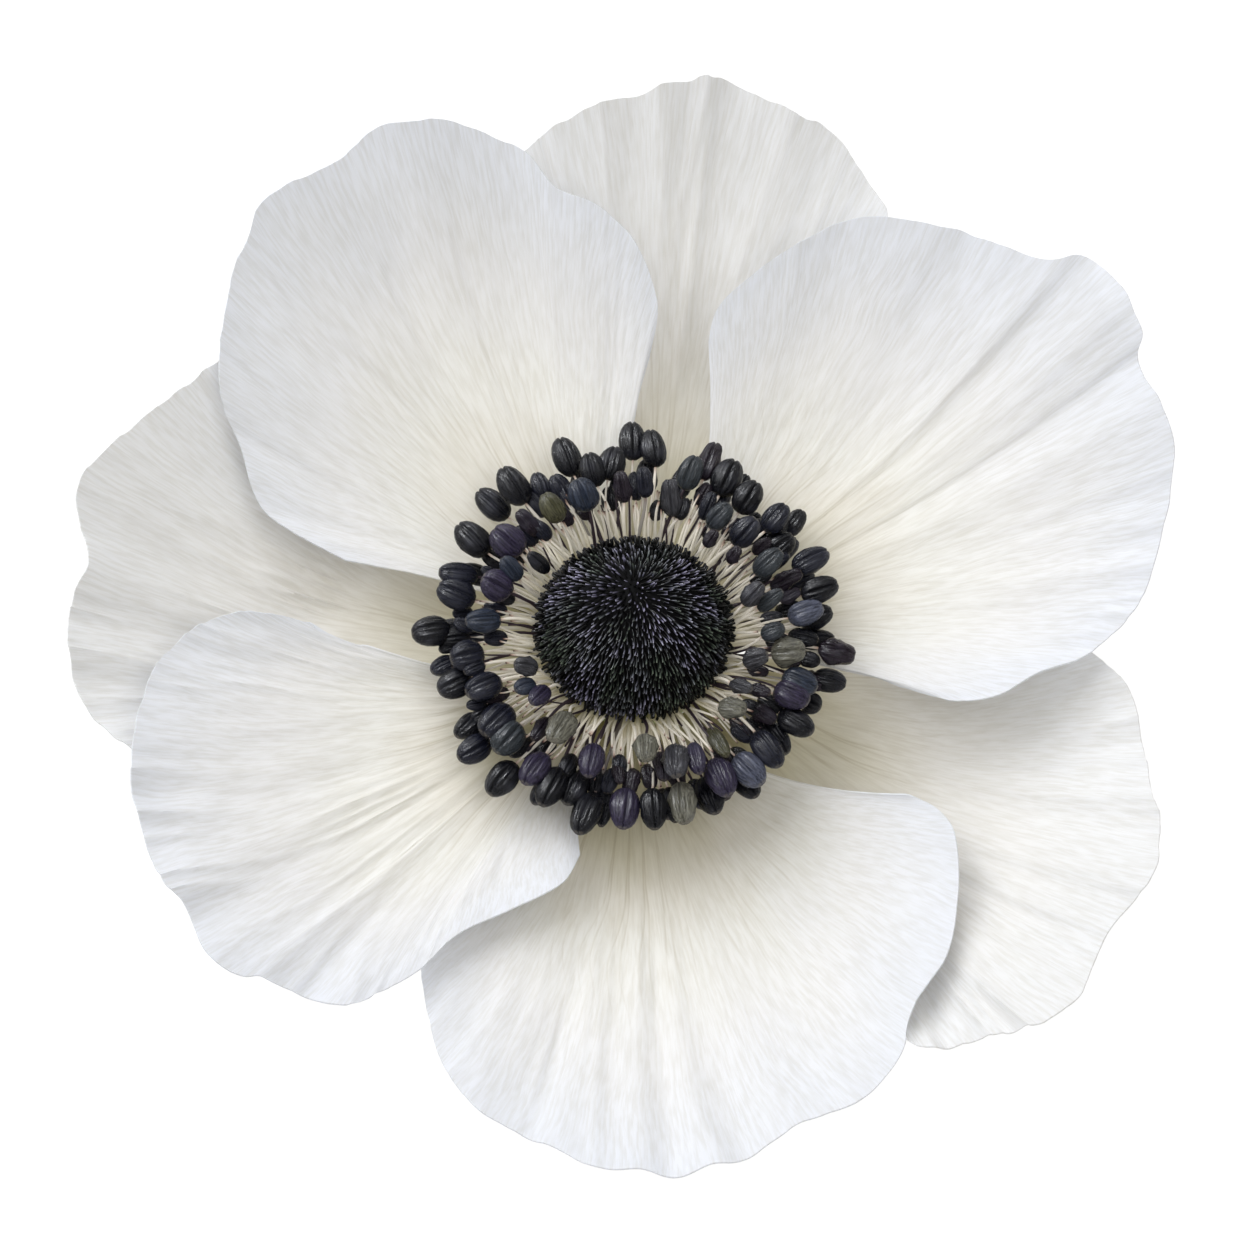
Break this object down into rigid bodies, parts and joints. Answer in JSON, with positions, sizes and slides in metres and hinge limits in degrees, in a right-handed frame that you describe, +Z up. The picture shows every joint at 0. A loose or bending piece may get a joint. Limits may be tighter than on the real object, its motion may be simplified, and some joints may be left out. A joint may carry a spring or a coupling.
{
  "type": "anemone flower",
  "caption": "Open white anemone bloom with overlapping wavy petals, a crowded ring of dark stamens and a dark domed centre, picked and laid face up.",
  "frame": {"origin": "middle of the bloom's footprint, on the surface that it lies on", "axes": "+Z up along the flower's axis, +Y towards the petal that is at the top of the picture, +X to the picture's right"},
  "size_m": [0.08, 0.0862, 0.0166],
  "materials": {
    "front_petal": "soft matt petal, faintly translucent, with fine fibres and veins",
    "back_petal": "soft matt petal, a little greyer and creamier",
    "stamen": "black-blue pollen sacs with a slight sheen, on cream filaments",
    "style": "black fibrous styles with pale flecks",
    "stem": "pale green, soft and finely haired"
  },
  "bodies": {
    "root": {"petal_upper_left": "front_petal", "petal_upper_right": "front_petal", "petal_lower_left": "front_petal", "petal_bottom": "front_petal", "petal_top": "back_petal", "petal_lower_right": "back_petal", "petal_left": "back_petal", "stamens": "stamen", "dome_of_styles": "style", "receptacle_and_stem": "stem"}
  },
  "joints": []
}
